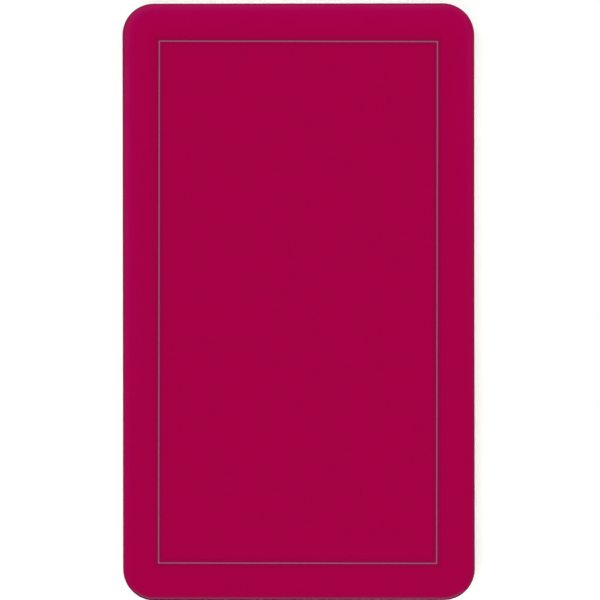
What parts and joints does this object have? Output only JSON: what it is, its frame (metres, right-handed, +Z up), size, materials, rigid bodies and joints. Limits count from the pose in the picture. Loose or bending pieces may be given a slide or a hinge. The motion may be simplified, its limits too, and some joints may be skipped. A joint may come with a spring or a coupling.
{
  "type": "tarot card deck",
  "caption": "Tarot card deck with crimson backs and a hairline frame, squared face down; the cards fan about a corner, the upper packet cuts aside and the top card turns over.",
  "frame": {"origin": "middle of the lower face of the bottom card, on the table", "axes": "+Z up through the stack, +Y along the cards' length towards their top edge, +X to the right when the backs are seen from above"},
  "size_m": [0.0708, 0.12, 0.0273],
  "materials": {
    "card_board": "satin"
  },
  "bodies": {
    "coins_1_2": {"coins_1_2": "card_board"},
    "coins_3_4": {"coins_3_4": "card_board"},
    "coins_5_6": {"coins_5_6": "card_board"},
    "coins_7_8": {"coins_7_8": "card_board"},
    "coins_9_10": {"coins_9_10": "card_board"},
    "coins_page": {"coins_page": "card_board"},
    "coins_knight": {"coins_knight": "card_board"},
    "coins_queen": {"coins_queen": "card_board"},
    "coins_king": {"coins_king": "card_board"},
    "swords_1_2": {"swords_1_2": "card_board"},
    "swords_3_4": {"swords_3_4": "card_board"},
    "swords_5_6": {"swords_5_6": "card_board"},
    "swords_7_8": {"swords_7_8": "card_board"},
    "swords_9_10": {"swords_9_10": "card_board"},
    "swords_page": {"swords_page": "card_board"},
    "swords_knight": {"swords_knight": "card_board"},
    "swords_queen": {"swords_queen": "card_board"},
    "swords_king": {"swords_king": "card_board"},
    "cups_1_2": {"cups_1_2": "card_board"},
    "cups_3_4": {"cups_3_4": "card_board"},
    "cups_5_6": {"cups_5_6": "card_board"},
    "cups_7_8": {"cups_7_8": "card_board"},
    "cups_9_10": {"cups_9_10": "card_board"},
    "cups_page": {"cups_page": "card_board"},
    "cups_knight": {"cups_knight": "card_board"},
    "cups_queen": {"cups_queen": "card_board"},
    "cups_king": {"cups_king": "card_board"},
    "wands_1_2": {"wands_1_2": "card_board"},
    "wands_3_4": {"wands_3_4": "card_board"},
    "wands_5_6": {"wands_5_6": "card_board"},
    "wands_7_8": {"wands_7_8": "card_board"},
    "wands_9_10": {"wands_9_10": "card_board"},
    "wands_page": {"wands_page": "card_board"},
    "wands_knight": {"wands_knight": "card_board"},
    "wands_queen": {"wands_queen": "card_board"},
    "wands_king": {"wands_king": "card_board"},
    "major_00_fool": {"major_00_fool": "card_board"},
    "major_01_magician": {"major_01_magician": "card_board"},
    "major_02_priestess": {"major_02_priestess": "card_board"},
    "major_03_empress": {"major_03_empress": "card_board"},
    "major_04_emperor": {"major_04_emperor": "card_board"},
    "major_05_hierophant": {"major_05_hierophant": "card_board"},
    "major_06_lovers": {"major_06_lovers": "card_board"},
    "major_07_chariot": {"major_07_chariot": "card_board"},
    "major_08_strength": {"major_08_strength": "card_board"},
    "major_09_hermit": {"major_09_hermit": "card_board"},
    "major_10_wheel": {"major_10_wheel": "card_board"},
    "major_11_justice": {"major_11_justice": "card_board"},
    "major_12_hanged_man": {"major_12_hanged_man": "card_board"},
    "major_13_death": {"major_13_death": "card_board"},
    "major_14_temperance": {"major_14_temperance": "card_board"},
    "major_15_devil": {"major_15_devil": "card_board"},
    "major_16_tower": {"major_16_tower": "card_board"},
    "major_17_star": {"major_17_star": "card_board"},
    "major_18_moon": {"major_18_moon": "card_board"},
    "major_19_sun": {"major_19_sun": "card_board"},
    "major_20_judgement": {"major_20_judgement": "card_board"},
    "major_21_world": {"major_21_world": "card_board"}
  },
  "joints": [
    {"name": "fan", "type": "hinge", "parent": "coins_1_2", "child": "cups_page", "pos_m": [-0.02905, -0.05365, 0], "axis": [0, 0, -1], "range_deg": [0, 46]},
    {"name": "fan_coins_3_4", "type": "hinge", "parent": "coins_1_2", "child": "coins_3_4", "pos_m": [-0.02905, -0.05365, 0], "axis": [0, 0, -1], "range_deg": [-0.01, 2.01]},
    {"name": "fan_coins_5_6", "type": "hinge", "parent": "coins_1_2", "child": "coins_5_6", "pos_m": [-0.02905, -0.05365, 0], "axis": [0, 0, -1], "range_deg": [-0.01, 4.01]},
    {"name": "fan_coins_7_8", "type": "hinge", "parent": "coins_1_2", "child": "coins_7_8", "pos_m": [-0.02905, -0.05365, 0], "axis": [0, 0, -1], "range_deg": [-0.01, 6.01]},
    {"name": "fan_coins_9_10", "type": "hinge", "parent": "coins_1_2", "child": "coins_9_10", "pos_m": [-0.02905, -0.05365, 0], "axis": [0, 0, -1], "range_deg": [-0.01, 8.01]},
    {"name": "fan_coins_page", "type": "hinge", "parent": "coins_1_2", "child": "coins_page", "pos_m": [-0.02905, -0.05365, 0], "axis": [0, 0, -1], "range_deg": [-0.01, 10.01]},
    {"name": "fan_coins_knight", "type": "hinge", "parent": "coins_1_2", "child": "coins_knight", "pos_m": [-0.02905, -0.05365, 0], "axis": [0, 0, -1], "range_deg": [-0.01, 12.01]},
    {"name": "fan_coins_queen", "type": "hinge", "parent": "coins_1_2", "child": "coins_queen", "pos_m": [-0.02905, -0.05365, 0], "axis": [0, 0, -1], "range_deg": [-0.01, 14.01]},
    {"name": "fan_coins_king", "type": "hinge", "parent": "coins_1_2", "child": "coins_king", "pos_m": [-0.02905, -0.05365, 0], "axis": [0, 0, -1], "range_deg": [-0.01, 16.01]},
    {"name": "fan_swords_1_2", "type": "hinge", "parent": "coins_1_2", "child": "swords_1_2", "pos_m": [-0.02905, -0.05365, 0], "axis": [0, 0, -1], "range_deg": [-0.01, 18.01]},
    {"name": "fan_swords_3_4", "type": "hinge", "parent": "coins_1_2", "child": "swords_3_4", "pos_m": [-0.02905, -0.05365, 0], "axis": [0, 0, -1], "range_deg": [-0.01, 20.01]},
    {"name": "fan_swords_5_6", "type": "hinge", "parent": "coins_1_2", "child": "swords_5_6", "pos_m": [-0.02905, -0.05365, 0], "axis": [0, 0, -1], "range_deg": [-0.01, 22.01]},
    {"name": "fan_swords_7_8", "type": "hinge", "parent": "coins_1_2", "child": "swords_7_8", "pos_m": [-0.02905, -0.05365, 0], "axis": [0, 0, -1], "range_deg": [-0.01, 24.01]},
    {"name": "fan_swords_9_10", "type": "hinge", "parent": "coins_1_2", "child": "swords_9_10", "pos_m": [-0.02905, -0.05365, 0], "axis": [0, 0, -1], "range_deg": [-0.01, 26.01]},
    {"name": "fan_swords_page", "type": "hinge", "parent": "coins_1_2", "child": "swords_page", "pos_m": [-0.02905, -0.05365, 0], "axis": [0, 0, -1], "range_deg": [-0.01, 28.01]},
    {"name": "fan_swords_knight", "type": "hinge", "parent": "coins_1_2", "child": "swords_knight", "pos_m": [-0.02905, -0.05365, 0], "axis": [0, 0, -1], "range_deg": [-0.01, 30.01]},
    {"name": "fan_swords_queen", "type": "hinge", "parent": "coins_1_2", "child": "swords_queen", "pos_m": [-0.02905, -0.05365, 0], "axis": [0, 0, -1], "range_deg": [-0.01, 32.01]},
    {"name": "fan_swords_king", "type": "hinge", "parent": "coins_1_2", "child": "swords_king", "pos_m": [-0.02905, -0.05365, 0], "axis": [0, 0, -1], "range_deg": [-0.01, 34.01]},
    {"name": "fan_cups_1_2", "type": "hinge", "parent": "coins_1_2", "child": "cups_1_2", "pos_m": [-0.02905, -0.05365, 0], "axis": [0, 0, -1], "range_deg": [-0.01, 36.01]},
    {"name": "fan_cups_3_4", "type": "hinge", "parent": "coins_1_2", "child": "cups_3_4", "pos_m": [-0.02905, -0.05365, 0], "axis": [0, 0, -1], "range_deg": [-0.01, 38.01]},
    {"name": "fan_cups_5_6", "type": "hinge", "parent": "coins_1_2", "child": "cups_5_6", "pos_m": [-0.02905, -0.05365, 0], "axis": [0, 0, -1], "range_deg": [-0.01, 40.01]},
    {"name": "fan_cups_7_8", "type": "hinge", "parent": "coins_1_2", "child": "cups_7_8", "pos_m": [-0.02905, -0.05365, 0], "axis": [0, 0, -1], "range_deg": [-0.01, 42.01]},
    {"name": "fan_cups_9_10", "type": "hinge", "parent": "coins_1_2", "child": "cups_9_10", "pos_m": [-0.02905, -0.05365, 0], "axis": [0, 0, -1], "range_deg": [-0.01, 44.01]},
    {"name": "cut", "type": "slide", "parent": "cups_page", "child": "cups_knight", "axis": [1, 0, 0], "range_m": [0, 0.03]},
    {"name": "fan_cups_queen", "type": "hinge", "parent": "cups_knight", "child": "cups_queen", "pos_m": [-0.02905, -0.05365, 0], "axis": [0, 0, -1], "range_deg": [-0.01, 2.01]},
    {"name": "fan_cups_king", "type": "hinge", "parent": "cups_knight", "child": "cups_king", "pos_m": [-0.02905, -0.05365, 0], "axis": [0, 0, -1], "range_deg": [-0.01, 4.01]},
    {"name": "fan_wands_1_2", "type": "hinge", "parent": "cups_knight", "child": "wands_1_2", "pos_m": [-0.02905, -0.05365, 0], "axis": [0, 0, -1], "range_deg": [-0.01, 6.01]},
    {"name": "fan_wands_3_4", "type": "hinge", "parent": "cups_knight", "child": "wands_3_4", "pos_m": [-0.02905, -0.05365, 0], "axis": [0, 0, -1], "range_deg": [-0.01, 8.01]},
    {"name": "fan_wands_5_6", "type": "hinge", "parent": "cups_knight", "child": "wands_5_6", "pos_m": [-0.02905, -0.05365, 0], "axis": [0, 0, -1], "range_deg": [-0.01, 10.01]},
    {"name": "fan_wands_7_8", "type": "hinge", "parent": "cups_knight", "child": "wands_7_8", "pos_m": [-0.02905, -0.05365, 0], "axis": [0, 0, -1], "range_deg": [-0.01, 12.01]},
    {"name": "fan_wands_9_10", "type": "hinge", "parent": "cups_knight", "child": "wands_9_10", "pos_m": [-0.02905, -0.05365, 0], "axis": [0, 0, -1], "range_deg": [-0.01, 14.01]},
    {"name": "fan_wands_page", "type": "hinge", "parent": "cups_knight", "child": "wands_page", "pos_m": [-0.02905, -0.05365, 0], "axis": [0, 0, -1], "range_deg": [-0.01, 16.01]},
    {"name": "fan_wands_knight", "type": "hinge", "parent": "cups_knight", "child": "wands_knight", "pos_m": [-0.02905, -0.05365, 0], "axis": [0, 0, -1], "range_deg": [-0.01, 18.01]},
    {"name": "fan_wands_queen", "type": "hinge", "parent": "cups_knight", "child": "wands_queen", "pos_m": [-0.02905, -0.05365, 0], "axis": [0, 0, -1], "range_deg": [-0.01, 20.01]},
    {"name": "fan_wands_king", "type": "hinge", "parent": "cups_knight", "child": "wands_king", "pos_m": [-0.02905, -0.05365, 0], "axis": [0, 0, -1], "range_deg": [-0.01, 22.01]},
    {"name": "fan_major_00_fool", "type": "hinge", "parent": "cups_knight", "child": "major_00_fool", "pos_m": [-0.02905, -0.05365, 0], "axis": [0, 0, -1], "range_deg": [-0.01, 24.01]},
    {"name": "fan_major_01_magician", "type": "hinge", "parent": "cups_knight", "child": "major_01_magician", "pos_m": [-0.02905, -0.05365, 0], "axis": [0, 0, -1], "range_deg": [-0.01, 26.01]},
    {"name": "fan_major_02_priestess", "type": "hinge", "parent": "cups_knight", "child": "major_02_priestess", "pos_m": [-0.02905, -0.05365, 0], "axis": [0, 0, -1], "range_deg": [-0.01, 28.01]},
    {"name": "fan_major_03_empress", "type": "hinge", "parent": "cups_knight", "child": "major_03_empress", "pos_m": [-0.02905, -0.05365, 0], "axis": [0, 0, -1], "range_deg": [-0.01, 30.01]},
    {"name": "fan_major_04_emperor", "type": "hinge", "parent": "cups_knight", "child": "major_04_emperor", "pos_m": [-0.02905, -0.05365, 0], "axis": [0, 0, -1], "range_deg": [-0.01, 32.01]},
    {"name": "fan_major_05_hierophant", "type": "hinge", "parent": "cups_knight", "child": "major_05_hierophant", "pos_m": [-0.02905, -0.05365, 0], "axis": [0, 0, -1], "range_deg": [-0.01, 34.01]},
    {"name": "fan_major_06_lovers", "type": "hinge", "parent": "cups_knight", "child": "major_06_lovers", "pos_m": [-0.02905, -0.05365, 0], "axis": [0, 0, -1], "range_deg": [-0.01, 36.01]},
    {"name": "fan_major_07_chariot", "type": "hinge", "parent": "cups_knight", "child": "major_07_chariot", "pos_m": [-0.02905, -0.05365, 0], "axis": [0, 0, -1], "range_deg": [-0.01, 38.01]},
    {"name": "fan_major_08_strength", "type": "hinge", "parent": "cups_knight", "child": "major_08_strength", "pos_m": [-0.02905, -0.05365, 0], "axis": [0, 0, -1], "range_deg": [-0.01, 40.01]},
    {"name": "fan_major_09_hermit", "type": "hinge", "parent": "cups_knight", "child": "major_09_hermit", "pos_m": [-0.02905, -0.05365, 0], "axis": [0, 0, -1], "range_deg": [-0.01, 42.01]},
    {"name": "fan_major_10_wheel", "type": "hinge", "parent": "cups_knight", "child": "major_10_wheel", "pos_m": [-0.02905, -0.05365, 0], "axis": [0, 0, -1], "range_deg": [-0.01, 44.01]},
    {"name": "fan_major_11_justice", "type": "hinge", "parent": "cups_knight", "child": "major_11_justice", "pos_m": [-0.02905, -0.05365, 0], "axis": [0, 0, -1], "range_deg": [-0.01, 46.01]},
    {"name": "fan_major_12_hanged_man", "type": "hinge", "parent": "cups_knight", "child": "major_12_hanged_man", "pos_m": [-0.02905, -0.05365, 0], "axis": [0, 0, -1], "range_deg": [-0.01, 48.01]},
    {"name": "fan_major_13_death", "type": "hinge", "parent": "cups_knight", "child": "major_13_death", "pos_m": [-0.02905, -0.05365, 0], "axis": [0, 0, -1], "range_deg": [-0.01, 50.01]},
    {"name": "fan_major_14_temperance", "type": "hinge", "parent": "cups_knight", "child": "major_14_temperance", "pos_m": [-0.02905, -0.05365, 0], "axis": [0, 0, -1], "range_deg": [-0.01, 52.01]},
    {"name": "fan_major_15_devil", "type": "hinge", "parent": "cups_knight", "child": "major_15_devil", "pos_m": [-0.02905, -0.05365, 0], "axis": [0, 0, -1], "range_deg": [-0.01, 54.01]},
    {"name": "fan_major_16_tower", "type": "hinge", "parent": "cups_knight", "child": "major_16_tower", "pos_m": [-0.02905, -0.05365, 0], "axis": [0, 0, -1], "range_deg": [-0.01, 56.01]},
    {"name": "fan_major_17_star", "type": "hinge", "parent": "cups_knight", "child": "major_17_star", "pos_m": [-0.02905, -0.05365, 0], "axis": [0, 0, -1], "range_deg": [-0.01, 58.01]},
    {"name": "fan_major_18_moon", "type": "hinge", "parent": "cups_knight", "child": "major_18_moon", "pos_m": [-0.02905, -0.05365, 0], "axis": [0, 0, -1], "range_deg": [-0.01, 60.01]},
    {"name": "fan_major_19_sun", "type": "hinge", "parent": "cups_knight", "child": "major_19_sun", "pos_m": [-0.02905, -0.05365, 0], "axis": [0, 0, -1], "range_deg": [-0.01, 62.01]},
    {"name": "fan_major_20_judgement", "type": "hinge", "parent": "cups_knight", "child": "major_20_judgement", "pos_m": [-0.02905, -0.05365, 0], "axis": [0, 0, -1], "range_deg": [-0.01, 64.01]},
    {"name": "draw", "type": "hinge", "parent": "major_20_judgement", "child": "major_21_world", "pos_m": [0.0394, 0, 0.01364], "axis": [0, 1, 0], "range_deg": [0, 180]}
  ],
  "couplings": [
    {"joint": "fan_coins_3_4", "follows": "fan", "ratio": 0.043478},
    {"joint": "fan_coins_5_6", "follows": "fan", "ratio": 0.086957},
    {"joint": "fan_coins_7_8", "follows": "fan", "ratio": 0.13043},
    {"joint": "fan_coins_9_10", "follows": "fan", "ratio": 0.17391},
    {"joint": "fan_coins_page", "follows": "fan", "ratio": 0.21739},
    {"joint": "fan_coins_knight", "follows": "fan", "ratio": 0.26087},
    {"joint": "fan_coins_queen", "follows": "fan", "ratio": 0.30435},
    {"joint": "fan_coins_king", "follows": "fan", "ratio": 0.34783},
    {"joint": "fan_swords_1_2", "follows": "fan", "ratio": 0.3913},
    {"joint": "fan_swords_3_4", "follows": "fan", "ratio": 0.43478},
    {"joint": "fan_swords_5_6", "follows": "fan", "ratio": 0.47826},
    {"joint": "fan_swords_7_8", "follows": "fan", "ratio": 0.52174},
    {"joint": "fan_swords_9_10", "follows": "fan", "ratio": 0.56522},
    {"joint": "fan_swords_page", "follows": "fan", "ratio": 0.6087},
    {"joint": "fan_swords_knight", "follows": "fan", "ratio": 0.65217},
    {"joint": "fan_swords_queen", "follows": "fan", "ratio": 0.69565},
    {"joint": "fan_swords_king", "follows": "fan", "ratio": 0.73913},
    {"joint": "fan_cups_1_2", "follows": "fan", "ratio": 0.78261},
    {"joint": "fan_cups_3_4", "follows": "fan", "ratio": 0.82609},
    {"joint": "fan_cups_5_6", "follows": "fan", "ratio": 0.86957},
    {"joint": "fan_cups_7_8", "follows": "fan", "ratio": 0.91304},
    {"joint": "fan_cups_9_10", "follows": "fan", "ratio": 0.95652},
    {"joint": "fan_cups_queen", "follows": "fan", "ratio": 0.043478},
    {"joint": "fan_cups_king", "follows": "fan", "ratio": 0.086957},
    {"joint": "fan_wands_1_2", "follows": "fan", "ratio": 0.13043},
    {"joint": "fan_wands_3_4", "follows": "fan", "ratio": 0.17391},
    {"joint": "fan_wands_5_6", "follows": "fan", "ratio": 0.21739},
    {"joint": "fan_wands_7_8", "follows": "fan", "ratio": 0.26087},
    {"joint": "fan_wands_9_10", "follows": "fan", "ratio": 0.30435},
    {"joint": "fan_wands_page", "follows": "fan", "ratio": 0.34783},
    {"joint": "fan_wands_knight", "follows": "fan", "ratio": 0.3913},
    {"joint": "fan_wands_queen", "follows": "fan", "ratio": 0.43478},
    {"joint": "fan_wands_king", "follows": "fan", "ratio": 0.47826},
    {"joint": "fan_major_00_fool", "follows": "fan", "ratio": 0.52174},
    {"joint": "fan_major_01_magician", "follows": "fan", "ratio": 0.56522},
    {"joint": "fan_major_02_priestess", "follows": "fan", "ratio": 0.6087},
    {"joint": "fan_major_03_empress", "follows": "fan", "ratio": 0.65217},
    {"joint": "fan_major_04_emperor", "follows": "fan", "ratio": 0.69565},
    {"joint": "fan_major_05_hierophant", "follows": "fan", "ratio": 0.73913},
    {"joint": "fan_major_06_lovers", "follows": "fan", "ratio": 0.78261},
    {"joint": "fan_major_07_chariot", "follows": "fan", "ratio": 0.82609},
    {"joint": "fan_major_08_strength", "follows": "fan", "ratio": 0.86957},
    {"joint": "fan_major_09_hermit", "follows": "fan", "ratio": 0.91304},
    {"joint": "fan_major_10_wheel", "follows": "fan", "ratio": 0.95652},
    {"joint": "fan_major_11_justice", "follows": "fan", "ratio": 1},
    {"joint": "fan_major_12_hanged_man", "follows": "fan", "ratio": 1.0435},
    {"joint": "fan_major_13_death", "follows": "fan", "ratio": 1.087},
    {"joint": "fan_major_14_temperance", "follows": "fan", "ratio": 1.1304},
    {"joint": "fan_major_15_devil", "follows": "fan", "ratio": 1.1739},
    {"joint": "fan_major_16_tower", "follows": "fan", "ratio": 1.2174},
    {"joint": "fan_major_17_star", "follows": "fan", "ratio": 1.2609},
    {"joint": "fan_major_18_moon", "follows": "fan", "ratio": 1.3043},
    {"joint": "fan_major_19_sun", "follows": "fan", "ratio": 1.3478},
    {"joint": "fan_major_20_judgement", "follows": "fan", "ratio": 1.3913}
  ]
}
